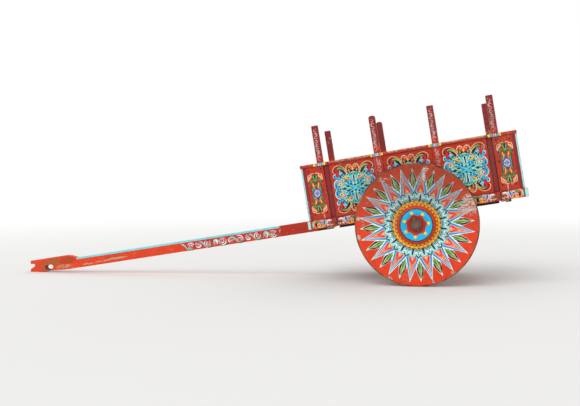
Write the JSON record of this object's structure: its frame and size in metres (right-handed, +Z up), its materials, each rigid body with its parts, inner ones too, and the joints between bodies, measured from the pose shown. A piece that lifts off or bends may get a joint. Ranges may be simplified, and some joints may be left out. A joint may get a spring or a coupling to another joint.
{
  "type": "two-wheeled bullock cart",
  "caption": "Painted wooden bullock cart with solid wedge wheels, a tall-staked open box and a long draught pole resting on the floor.",
  "frame": {"origin": "on the floor under the middle of the cart's overall length and width", "axes": "+X towards the rear, -X towards the pole's tip, +Z up; the cart mirrors across Y = 0"},
  "size_m": [5.6434, 1.6, 1.9369],
  "materials": {
    "red_paint": "painted, worn semi-gloss",
    "wine_paint": "painted, worn semi-gloss",
    "bare_wood": "weathered, unpainted",
    "rusty_iron": "forged iron with brown rust"
  },
  "bodies": {
    "cart": {"axle_arm_left": "rusty_iron", "axle_arm_right": "rusty_iron", "axle_bands": "rusty_iron", "axle_beam": "bare_wood", "axle_straps": "rusty_iron", "axle_washers": "rusty_iron", "bolsters": "bare_wood", "bottom_rail_left": "red_paint", "bottom_rail_right": "red_paint", "cross_bearer_1": "bare_wood", "cross_bearer_2": "bare_wood", "cross_bearer_3": "bare_wood", "cross_bearer_4": "bare_wood", "end_boards_left": "red_paint", "end_boards_right": "red_paint", "floor_boards": "bare_wood", "gate_cleats": "red_paint", "gate_front": "red_paint", "gate_rear": "red_paint", "linchpins": "rusty_iron", "recess_strips_left": "wine_paint", "recess_strips_right": "wine_paint", "side_battens_left": "red_paint", "side_battens_right": "red_paint", "side_panels_left": "red_paint", "side_panels_right": "red_paint", "stake_left_1": "wine_paint", "stake_left_2": "wine_paint", "stake_left_3": "wine_paint", "stake_left_4": "wine_paint", "stake_right_1": "wine_paint", "stake_right_2": "wine_paint", "stake_right_3": "wine_paint", "stake_right_4": "wine_paint", "tongue": "red_paint", "top_rail_left": "red_paint", "top_rail_right": "red_paint"},
    "left_wheel": {"wheel_left_box": "rusty_iron", "wheel_left_hub": "red_paint", "wheel_left_tyre": "rusty_iron", "wheel_left_wedges": "red_paint"},
    "right_wheel": {"wheel_right_box": "rusty_iron", "wheel_right_hub": "red_paint", "wheel_right_tyre": "rusty_iron", "wheel_right_wedges": "red_paint"}
  },
  "joints": [
    {"name": "left_wheel_spin", "type": "hinge", "parent": "cart", "child": "left_wheel", "pos_m": [1.71197, -0.679, 0.625], "axis": [0, 1, 0], "continuous": true},
    {"name": "right_wheel_spin", "type": "hinge", "parent": "cart", "child": "right_wheel", "pos_m": [1.71197, 0.679, 0.625], "axis": [0, 1, 0], "continuous": true}
  ]
}
